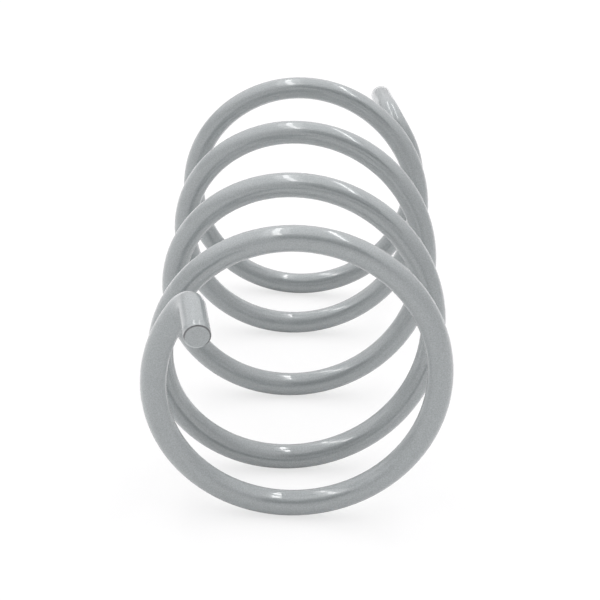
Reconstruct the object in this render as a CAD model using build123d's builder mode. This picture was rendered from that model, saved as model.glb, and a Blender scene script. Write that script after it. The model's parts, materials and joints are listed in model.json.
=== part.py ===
from build123d import *

import os
from math import cos, radians, sin, sqrt, tan

# Left-hand wire coil spring for a clutch.
#
# One round wire is wound into an open coil with a tighter turn at each end. Both ends are then bent
# out of the coil into short straight tangs, which lean in a little towards the coil's axis.
#
# The spring lies on its side, with Z up. The coil's axis is the Y axis, the front tang points to -Y
# and the origin is at half the overall length.

# Wire
wire_diameter = 6.0
tip_round = 0.3  # radius on the sheared edge of each tip

# Coil
coil_diameter = 65.0  # from wire centre to wire centre
total_turns = 4.68
open_pitch = 36.2  # advance along the axis in one turn, in the open middle
front_pitch = 15.4  # the same in the tighter turn at the front end
rear_pitch = 15.1
front_closed_turns = 1.045  # length of the tighter winding at the front end
rear_closed_turns = 0.76
ramp_turns = 0.12  # length of winding over which the pitch opens out

# End of the coil, where the wire leaves the winding's circle before its bend
ease_turns = 0.15
front_spread = 0.8  # outwards
rear_spread = -0.7  # inwards

# Tangs
front_bend_radius = 5.1  # on the wire's centreline
front_tang_length = 10.35  # straight length past the bend
front_lean = 12.2  # degrees towards the coil's axis
rear_bend_radius = 7.8
rear_tang_length = 12.0
rear_lean = 7.3

POINTS_PER_TURN = 24  # on the guide curve
SPANS_PER_TURN = 6  # each span of the winding is a pair of arcs


def opened(turns_in, closed_turns):
    """How far the pitch has opened, from 0 to 1, this many turns in from an end."""
    return min(max((turns_in - closed_turns) / ramp_turns, 0), 1)


def pitch_at(turns):
    """Advance per turn, this many turns on from the front end."""
    front_drop = (open_pitch - front_pitch) * (1 - opened(turns, front_closed_turns))
    rear_drop = (open_pitch - rear_pitch) * (1 - opened(total_turns - turns, rear_closed_turns))
    return open_pitch - front_drop - rear_drop


def radius_at(turns):
    """Radius of the wire's centreline, which eases outwards or inwards near each end."""
    front_ease = max(1 - turns / ease_turns, 0) ** 2
    rear_ease = max(1 - (total_turns - turns) / ease_turns, 0) ** 2
    return coil_diameter / 2 + front_spread * front_ease + rear_spread * rear_ease


# The middle of the wire's length is at the bottom of the coil, so the two ends stand level.
BOTTOM = 270
start_angle = BOTTOM - 180 * total_turns


def clock_angle(turns):
    """Angle about the coil's axis, in degrees from +X towards +Z."""
    return start_angle + 360 * turns


def guide_points():
    """Points along the coil's centreline, with the advance added up from the local pitch."""
    steps = round(total_turns * POINTS_PER_TURN)
    step = total_turns / steps
    points = []
    advance = 0
    for i in range(steps + 1):
        angle = radians(clock_angle(i * step))
        radius = radius_at(i * step)
        points.append(Vector(radius * cos(angle), advance, radius * sin(angle)))
        advance += step * pitch_at((i + 0.5) * step)
    return points


def arc_joint(start, start_tangent, end, end_tangent):
    """Where two arcs of equal tangent length meet, so that both ends keep their tangents."""
    chord = end - start
    along = chord.dot(start_tangent + end_tangent)
    turn = 2 * (1 - start_tangent.dot(end_tangent))
    tangent_length = (sqrt(along**2 + turn * chord.dot(chord)) - along) / turn
    return (start + end + (start_tangent - end_tangent) * tangent_length) / 2


def tang_direction(along_axis, angle, lean):
    """Unit vector along the coil's axis, tilted by the lean towards that axis."""
    outwards = Vector(cos(radians(angle)), 0, sin(radians(angle)))
    return (along_axis - outwards * tan(radians(lean))).normalized()


front = tang_direction(Vector(0, -1, 0), clock_angle(0), front_lean)
rear = tang_direction(Vector(0, 1, 0), clock_angle(total_turns), rear_lean)

with BuildPart() as coil_spring:
    with BuildLine() as centreline:
        # the winding, as pairs of arcs along the guide curve
        guide = Spline(*guide_points(), mode=Mode.PRIVATE)
        spans = round(total_turns * SPANS_PER_TURN)
        for i in range(spans):
            start, end = guide @ (i / spans), guide @ ((i + 1) / spans)
            start_tangent, end_tangent = guide % (i / spans), guide % ((i + 1) / spans)
            joint = arc_joint(start, start_tangent, end, end_tangent)
            TangentArc(start, joint, tangent=start_tangent)
            TangentArc(end, joint, tangent=-end_tangent)

        # the tangs, each a bend and a straight
        ends = [
            (guide @ 0, -(guide % 0), front, front_bend_radius, front_tang_length),
            (guide @ 1, guide % 1, rear, rear_bend_radius, rear_tang_length),
        ]
        for coil_end, heading, direction, bend_radius, tang_length in ends:
            tangent_length = bend_radius * tan(radians(heading.get_angle(direction) / 2))
            bend_end = coil_end + (heading + direction) * tangent_length
            TangentArc(coil_end, bend_end, tangent=heading)
            Line(bend_end, bend_end + direction * tang_length)

    path = centreline.wire()
    with BuildSketch(Plane(origin=path @ 0, z_dir=path % 0)):
        Circle(wire_diameter / 2)
    sweep(path=path)

    edges_by_depth = coil_spring.edges().sort_by(Axis.Y)
    fillet([edges_by_depth[0], edges_by_depth[-1]], radius=tip_round)

middle = coil_spring.part.bounding_box().center().Y
spring = coil_spring.part.moved(Location((0, -middle, 0)))
spring.label = "coil_spring"

os.makedirs("parts", exist_ok=True)
export_step(spring, "parts/coil_spring.step")
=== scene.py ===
"""Looks of the clutch spring: glossy silver-grey coated wire on a white studio floor.

Lengths are in metres, in the CAD model's own frame: the coil lies along Y, and Z is up.
"""

import json
from math import pi, radians

import bpy
from mathutils import Matrix, Vector


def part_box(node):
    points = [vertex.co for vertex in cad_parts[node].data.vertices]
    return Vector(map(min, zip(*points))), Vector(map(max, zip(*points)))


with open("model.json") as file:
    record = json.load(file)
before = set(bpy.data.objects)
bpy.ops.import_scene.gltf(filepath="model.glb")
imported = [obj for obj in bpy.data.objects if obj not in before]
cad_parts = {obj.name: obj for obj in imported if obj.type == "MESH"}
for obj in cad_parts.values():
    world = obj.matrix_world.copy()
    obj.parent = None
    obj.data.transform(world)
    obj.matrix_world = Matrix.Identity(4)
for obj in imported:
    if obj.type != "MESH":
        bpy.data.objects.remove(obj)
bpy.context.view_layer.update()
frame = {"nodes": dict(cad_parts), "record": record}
scene = bpy.context.scene
scene.view_settings.view_transform = "Standard"
spring = frame["nodes"]["coil_spring"]
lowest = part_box("coil_spring")[0]


# ---- camera: above the front end, looking back along the coil ----

CAMERA_PLACE = (-0.01338, -0.36693, 0.17324)
CAMERA_AZIMUTH = -2.157  # degrees about Z, from straight along the coil
CAMERA_TILT = 63.543  # degrees, up from straight down
CAMERA_ROLL = 6.769  # degrees, about its own line of sight
CAMERA_LENS = 92.78  # mm
SENSOR_WIDTH = 36  # mm
CLIP_START = 0.01


def add_camera():
    data = bpy.data.cameras.new("camera")
    data.lens = CAMERA_LENS
    data.sensor_width = SENSOR_WIDTH
    data.clip_start = CLIP_START
    camera = bpy.data.objects.new("camera", data)
    turn = (
        Matrix.Rotation(radians(CAMERA_AZIMUTH), 4, "Z")
        @ Matrix.Rotation(radians(CAMERA_TILT), 4, "X")
        @ Matrix.Rotation(radians(CAMERA_ROLL), 4, "Z")
    )
    camera.matrix_world = Matrix.Translation(CAMERA_PLACE) @ turn
    scene.collection.objects.link(camera)
    scene.camera = camera


add_camera()


# ---- shader nodes ----

# a Mix node has sockets of one name for each kind of data, so its colours are found by number
MIX_FIRST_COLOR = 6
MIX_SECOND_COLOR = 7
MIX_COLOR_RESULT = 2


class Tree:
    """The nodes of a material or a world. A value is a number, a vector or another node's output."""

    def __init__(self, owner):
        owner.use_nodes = True
        self.nodes = owner.node_tree.nodes
        self.links = owner.node_tree.links
        self.nodes.clear()

    def add(self, kind):
        return self.nodes.new("ShaderNode" + kind)

    def set(self, socket, value):
        if isinstance(value, bpy.types.NodeSocket):
            self.links.new(value, socket)
        else:
            socket.default_value = value

    def math(self, operation, first, second=0.0):
        node = self.add("Math")
        node.operation = operation
        self.set(node.inputs[0], first)
        self.set(node.inputs[1], second)
        return node.outputs[0]

    def product(self, *factors):
        result = factors[0]
        for factor in factors[1:]:
            result = self.math("MULTIPLY", result, factor)
        return result

    def mix(self, share, first, second):
        """A value that goes from first to second as the share goes from 0 to 1."""
        gap = self.math("SUBTRACT", second, first)
        return self.math("ADD", first, self.product(gap, share))

    def step(self, value, low, high, start=0, end=1):
        """A smooth step from start to end as the value goes from low to high."""
        node = self.add("MapRange")
        node.interpolation_type = "SMOOTHSTEP"
        node.inputs["From Min"].default_value = low
        node.inputs["From Max"].default_value = high
        node.inputs["To Min"].default_value = start
        node.inputs["To Max"].default_value = end
        self.set(node.inputs["Value"], value)
        return node.outputs["Result"]

    def vector_math(self, operation, first, second=(0, 0, 0), output="Vector"):
        node = self.add("VectorMath")
        node.operation = operation
        self.set(node.inputs[0], first)
        self.set(node.inputs["Scale" if operation == "SCALE" else 1], second)
        return node.outputs[output]

    def split(self, vector):
        node = self.add("SeparateXYZ")
        self.set(node.inputs[0], vector)
        return node.outputs

    def noise(self, place, scale, detail=2):
        node = self.add("TexNoise")
        node.inputs["Scale"].default_value = scale
        node.inputs["Detail"].default_value = detail
        self.set(node.inputs["Vector"], place)
        return node.outputs["Fac"]

    def mix_colors(self, share, first, second):
        """A colour that goes from first to second as the share goes from 0 to 1."""
        node = self.add("Mix")
        node.data_type = "RGBA"
        self.set(node.inputs["Factor"], share)
        self.set(node.inputs[MIX_FIRST_COLOR], first)
        self.set(node.inputs[MIX_SECOND_COLOR], second)
        return node.outputs[MIX_COLOR_RESULT]

    def bump(self, height, distance, strength=1, normal=None, sunk=False):
        """Normals of relief on the surface, or on the relief that another normal gives."""
        node = self.add("Bump")
        node.invert = sunk
        node.inputs["Strength"].default_value = strength
        node.inputs["Distance"].default_value = distance
        self.set(node.inputs["Height"], height)
        if normal:
            self.set(node.inputs["Normal"], normal)
        return node.outputs["Normal"]


# ---- floor, and a low round backdrop far behind everything ----

FLOOR_SIZE = 12
FLOOR_GAP = 0.0002  # below the spring
BACKDROP_RADIUS = 0.49 * FLOOR_SIZE
BACKDROP_HEIGHT = 1.5
BACKDROP_DROP = 0.01  # below the spring, so that it meets the floor
BACKDROP_SIDES = 96
MATT_WHITE = (0.86, 0.86, 0.86, 1)
PURE_WHITE = (1, 1, 1, 1)

# shares of plain white: the rest is matt, and keeps the shadows
FLOOR_WHITE_SEEN = 0.7
BACKDROP_WHITE_SEEN = 1
WHITE_MIRRORED = 0.1


def white_share(tree, white_seen):
    """How much of a surface is plain white: more where it is seen than where it is mirrored."""
    path = tree.add("LightPath").outputs
    seen = tree.math("MAXIMUM", path["Is Camera Ray"], path["Is Transmission Ray"])
    seen = tree.product(seen, white_seen)
    mirrored = tree.product(path["Is Glossy Ray"], WHITE_MIRRORED)
    return tree.math("MAXIMUM", seen, mirrored)


def white_material(name, white_seen):
    """Matt white that keeps the shadows on it, apart from the share that is plain white."""
    material = bpy.data.materials.new(name)
    tree = Tree(material)
    matt = tree.add("BsdfDiffuse")
    matt.inputs["Color"].default_value = MATT_WHITE
    plain = tree.add("Emission")
    plain.inputs["Color"].default_value = PURE_WHITE
    plain.inputs["Strength"].default_value = 1
    mix = tree.add("MixShader")
    tree.set(mix.inputs["Fac"], white_share(tree, white_seen))
    tree.set(mix.inputs[1], matt.outputs[0])
    tree.set(mix.inputs[2], plain.outputs[0])
    tree.set(tree.add("OutputMaterial").inputs["Surface"], mix.outputs[0])
    return material


bpy.ops.mesh.primitive_plane_add(size=FLOOR_SIZE, location=(0, 0, lowest.z - FLOOR_GAP))
floor = bpy.context.object
floor.name = "floor"
floor.data.materials.append(white_material("floor", FLOOR_WHITE_SEEN))

bpy.ops.mesh.primitive_cylinder_add(
    vertices=BACKDROP_SIDES,
    radius=BACKDROP_RADIUS,
    depth=BACKDROP_HEIGHT,
    end_fill_type="NOTHING",
    location=(0, 0, lowest.z - BACKDROP_DROP + BACKDROP_HEIGHT / 2),
)
backdrop = bpy.context.object
backdrop.name = "backdrop"
backdrop.data.materials.append(white_material("backdrop", BACKDROP_WHITE_SEEN))


# ---- studio walls and ceiling, by direction: x to the right, y to the back, z up ----
#
# Each pair here is where a soft edge starts and ends.

STUDIO_COLOR = (0.8, 0.789, 0.8, 1)

WALL_LIGHT = 1.0
CEILING_LIGHT = 1.6
CEILING_EDGE = (0.1, 0.8)  # z
CEILING_DROP_LEFT = -0.15  # the ceiling's light comes further down on the left
CEILING_DROP_BACK = 0.2  # and at the back

# broad soft bands outside the tubes: x of the middle, half width, light added, y where it starts
BANDS = ((-0.75, 0.22, 0.35, -0.7), (0.52, 0.16, 0.25, -0.4))
BAND_FADE = 0.3  # y and z over which a band comes in

# the unlit opening above and behind the camera
OPENING_SIDE = (0.3, 0.42)  # x, to either side
OPENING_FRONT = (-0.6, -0.42)  # y
OPENING_FOOT = (0.36, 0.4)  # z
OPENING_FADE = (0.45, 0.85)  # z over which it gets less dark
OPENING_TOP_SHADE = 0.7


def ceiling_light(tree, x, y, z):
    height = tree.math("ADD", z, tree.product(x, CEILING_DROP_LEFT))
    height = tree.math("ADD", height, tree.product(y, CEILING_DROP_BACK))
    return tree.step(height, *CEILING_EDGE, WALL_LIGHT, CEILING_LIGHT)


def band_light(tree, x, y, z, middle, half_width, gain, front):
    """A soft band of light that runs from front to back overhead."""
    aside = tree.math("ABSOLUTE", tree.math("SUBTRACT", x, middle))
    band = tree.step(aside, 0, half_width, gain, 0)
    behind_front = tree.step(y, front, front + BAND_FADE)
    above_wall = tree.step(z, 0, BAND_FADE)
    return tree.product(band, behind_front, above_wall)


def opening_shade(tree, x, y, z):
    """How dark the opening makes a direction, from 0 to 1."""
    across = tree.step(tree.math("ABSOLUTE", x), *OPENING_SIDE, 1, 0)
    behind = tree.step(y, *OPENING_FRONT, 1, 0)
    above = tree.step(z, *OPENING_FOOT)
    depth = tree.step(z, *OPENING_FADE, 1, OPENING_TOP_SHADE)
    return tree.product(across, behind, above, depth)


def make_world():
    world = bpy.data.worlds.new("studio")
    scene.world = world
    tree = Tree(world)
    x, y, z = tree.split(tree.add("TexCoord").outputs["Generated"])
    light = ceiling_light(tree, x, y, z)
    for band in BANDS:
        light = tree.math("ADD", light, band_light(tree, x, y, z, *band))
    unshaded = tree.math("SUBTRACT", 1, opening_shade(tree, x, y, z))

    background = tree.add("Background")
    background.inputs["Color"].default_value = STUDIO_COLOR
    tree.set(background.inputs["Strength"], tree.product(light, unshaded))
    tree.set(tree.add("OutputWorld").inputs["Surface"], background.outputs[0])


make_world()


# ---- two tube lamps from front to back, each inside a wider dim glow ----

TUBE_NEAR_HEIGHT = 3.0
TUBE_FAR_HEIGHT = 3.4


def tube_lamp(name, near, far, width, radiance):
    """A strip of light between two points. They and its width are given per metre of height."""
    start = TUBE_NEAR_HEIGHT * Vector((*near, 1))
    end = TUBE_FAR_HEIGHT * Vector((*far, 1))
    middle = (start + end) / 2
    length = (end - start).length
    width = width * TUBE_NEAR_HEIGHT

    # a lamp shines against its third axis, so that axis points away from the spring
    along = (end - start).normalized()
    away = middle.normalized()
    away = (away - away.dot(along) * along).normalized()
    across = along.cross(away)
    axes = Matrix((across, along, away)).transposed().to_4x4()

    data = bpy.data.lights.new(name, "AREA")
    data.shape = "RECTANGLE"
    data.size = width
    data.size_y = length
    data.energy = radiance * pi * width * length
    lamp = bpy.data.objects.new(name, data)
    lamp.matrix_world = Matrix.Translation(middle) @ axes
    scene.collection.objects.link(lamp)


tube_lamp("left_tube", (-0.48, -0.65), (-0.35, 0.85), width=0.08, radiance=3.6)
tube_lamp("left_glow", (-0.48, -0.68), (-0.35, 0.85), width=0.3, radiance=0.9)
tube_lamp("right_tube", (0.26, -0.35), (0.17, 0.82), width=0.055, radiance=5.5)
tube_lamp("right_glow", (0.26, -0.38), (0.17, 0.82), width=0.18, radiance=0.9)


# ---- streaks along the wire ----

OPEN_PITCH = 0.0362  # the coil's advance in one open turn
STREAK_GAP = 0.0008  # from one streak to the next, round the wire
STREAK_LENGTH = 0.01
TANG_STREAKS = 0.5  # relief on the tangs, against that on the coil


def streak_noise(tree, section, place):
    """Noise that changes fast with the place in the wire's section, and slowly along the wire."""
    fine = tree.vector_math("SCALE", section, 1 / STREAK_GAP)
    slow = tree.vector_math("SCALE", place, 1 / STREAK_LENGTH)
    return tree.noise(tree.vector_math("ADD", fine, slow), 1)


def coil_section(tree, place):
    """Coordinates across the wound wire, which hardly change along it."""
    x, y, z = tree.split(place)
    off_axis = tree.vector_math("MULTIPLY", place, (1, 0, 1))
    phase = tree.product(y, 2 * pi / OPEN_PITCH)
    phase = tree.math("SUBTRACT", phase, tree.math("ARCTAN2", z, x))
    section = tree.add("CombineXYZ")
    tree.set(section.inputs[0], tree.vector_math("LENGTH", off_axis, output="Value"))
    tree.set(section.inputs[1], tree.product(tree.math("COSINE", phase), OPEN_PITCH / (2 * pi)))
    tree.set(section.inputs[2], tree.product(tree.math("SINE", phase), OPEN_PITCH / (2 * pi)))
    return section.outputs[0]


# ---- tangs: straight streaks, a coating drawn down before the cut, and painted shade and a painted reflection on the cut rim ----
#
# Each pair here is where a soft edge starts and ends.

TANG_SURFACE = (1.1, 1.3)  # distance from the axis, in wire radii
TANG_ROOT = (-0.001, 0.001)  # height, from the tang's inner end
NECK = (-0.0017, -0.0001)  # height, from the cut
RIM_END = (-0.00015, 0.00005)  # height, from the cut
RIM_INNER = (-0.00046, -0.0003)  # distance from the axis, from the wire's radius
RIM_OUTER = (-0.0001, 0)  # the same
PAINTED_SHADE_LEAN = 0.35  # lean of the painted shade's edge: to the right, for each unit upwards
PAINTED_SHADE_FOOT = (-0.0026, -0.0006)  # where the painted shade above gives way to the painted reflection below: upwards, from the axis


def at(place, edge):
    """A soft edge's start and end, moved to a place."""
    return place + edge[0], place + edge[1]


def tang_frame(tree, place, mount):
    """Height along a tang from its middle, distance from its axis, and the offset across it."""
    axis = Vector(mount["axis"]).normalized()
    offset = tree.vector_math("SUBTRACT", place, Vector(mount["pos_m"]))
    height = tree.vector_math("DOT_PRODUCT", offset, axis, output="Value")
    across = tree.vector_math("SUBTRACT", offset, tree.vector_math("SCALE", axis, height))
    distance = tree.vector_math("LENGTH", across, output="Value")
    return height, distance, across


def painted_rim_light(tree, height, distance, across, half_length, radius):
    """Shares of the painted shade on the upper side of a cut tip's rim, and of the painted reflection
    of the floor below it.
    """
    x, _, z = tree.split(across)
    upwards = tree.math("ADD", z, tree.product(x, PAINTED_SHADE_LEAN))
    painted_shade_side = tree.step(upwards, *PAINTED_SHADE_FOOT)
    rim = tree.product(
        tree.step(distance, *at(radius, RIM_INNER)),
        tree.step(height, *at(half_length, RIM_END)),
    )
    # painted shade: the upper side of the rim drawn dark
    painted_shade = tree.product(rim, tree.step(distance, *at(radius, RIM_OUTER), 1, 0), painted_shade_side)
    # painted reflection of the floor on the rim's lower side
    painted_reflection = tree.product(tree.math("SUBTRACT", 1, painted_shade_side), rim)
    return painted_shade, painted_reflection


# ---- coating ----

GRAIN_SCALE = 3500  # speckles in a metre
GRAIN_RANGE = (0.3, 0.7)  # levels of the noise that are darkest and lightest
GRAIN_DARK = (0.226, 0.2465, 0.249, 1)
GRAIN_LIGHT = (0.297, 0.3235, 0.328, 1)
# painted shade on the upper side of each cut rim
PAINTED_SHADE_COLOR = (0.06, 0.063, 0.066, 1)
# painted reflection of the floor on the lower side of each cut rim
PAINTED_REFLECTION_COLOR = (0.4, 0.43, 0.435, 1)
NECK_DEPTH = 0.00031
STREAK_DEPTH = 0.000032
GRAIN_DEPTH = 0.0001
GRAIN_STRENGTH = 0.1


def coating_color(tree, grain, painted_shade, painted_reflection):
    ramp = tree.add("ValToRGB")
    dark_end, light_end = ramp.color_ramp.elements
    dark_end.position, light_end.position = GRAIN_RANGE
    dark_end.color = GRAIN_DARK
    light_end.color = GRAIN_LIGHT
    tree.set(ramp.inputs["Fac"], grain)
    # painted reflection of the floor on the lower side of the cut rim
    color = tree.mix_colors(painted_reflection, ramp.outputs["Color"], PAINTED_REFLECTION_COLOR)
    # painted shade on the upper side of the cut rim
    return tree.mix_colors(painted_shade, color, PAINTED_SHADE_COLOR)


def wire_marks(tree, place):
    """Streaks all along the wire, and at its two ends the drawn-down neck and the painted shade and
    painted reflection on the rim.
    """
    streaks = streak_noise(tree, coil_section(tree, place), place)
    neck = painted_shade = painted_reflection = 0.0
    mounts = {mount["name"]: mount for mount in frame["record"]["mounts"]}
    for name in ("front_tang", "rear_tang"):
        half_length = mounts[name]["dims"]["length_mm"] / 1000 / 2
        radius = mounts[name]["dims"]["r_mm"] / 1000
        height, distance, across = tang_frame(tree, place, mounts[name])
        near = tree.step(distance, TANG_SURFACE[0] * radius, TANG_SURFACE[1] * radius, 1, 0)
        on_tang = tree.product(tree.step(height, *at(-half_length, TANG_ROOT)), near)
        straight = tree.product(streak_noise(tree, across, place), TANG_STREAKS)
        streaks = tree.mix(on_tang, streaks, straight)
        drawn_down = tree.product(tree.step(height, *at(half_length, NECK)), near)
        neck = tree.math("MAXIMUM", drawn_down, neck)
        # the rim's painted shade above and painted reflection below
        tip_painted_shade, tip_painted_reflection = painted_rim_light(tree, height, distance, across, half_length, radius)
        painted_shade = tree.math("MAXIMUM", tip_painted_shade, painted_shade)
        painted_reflection = tree.math("MAXIMUM", tip_painted_reflection, painted_reflection)
    return streaks, neck, painted_shade, painted_reflection


def coating():
    """Glossy silver-grey paint over a fine metallic grain."""
    material = bpy.data.materials.new("silver_grey_paint")
    tree = Tree(material)
    shader = tree.add("BsdfPrincipled")
    shader.inputs["Metallic"].default_value = 0.25
    shader.inputs["Roughness"].default_value = 0.45
    shader.inputs["Coat Weight"].default_value = 1
    shader.inputs["Coat Roughness"].default_value = 0.05
    shader.inputs["Coat IOR"].default_value = 1.8

    place = tree.add("TexCoord").outputs["Object"]
    grain = tree.noise(place, GRAIN_SCALE)
    streaks, neck, painted_shade, painted_reflection = wire_marks(tree, place)
    coat_normal = tree.bump(neck, NECK_DEPTH, sunk=True)
    coat_normal = tree.bump(streaks, STREAK_DEPTH, normal=coat_normal)
    grain_normal = tree.bump(grain, GRAIN_DEPTH, GRAIN_STRENGTH, normal=coat_normal)
    tree.set(shader.inputs["Base Color"], coating_color(tree, grain, painted_shade, painted_reflection))
    tree.set(shader.inputs["Coat Normal"], coat_normal)
    tree.set(shader.inputs["Normal"], grain_normal)
    tree.set(tree.add("OutputMaterial").inputs["Surface"], shader.outputs["BSDF"])
    return material


spring.data.materials.clear()
spring.data.materials.append(coating())
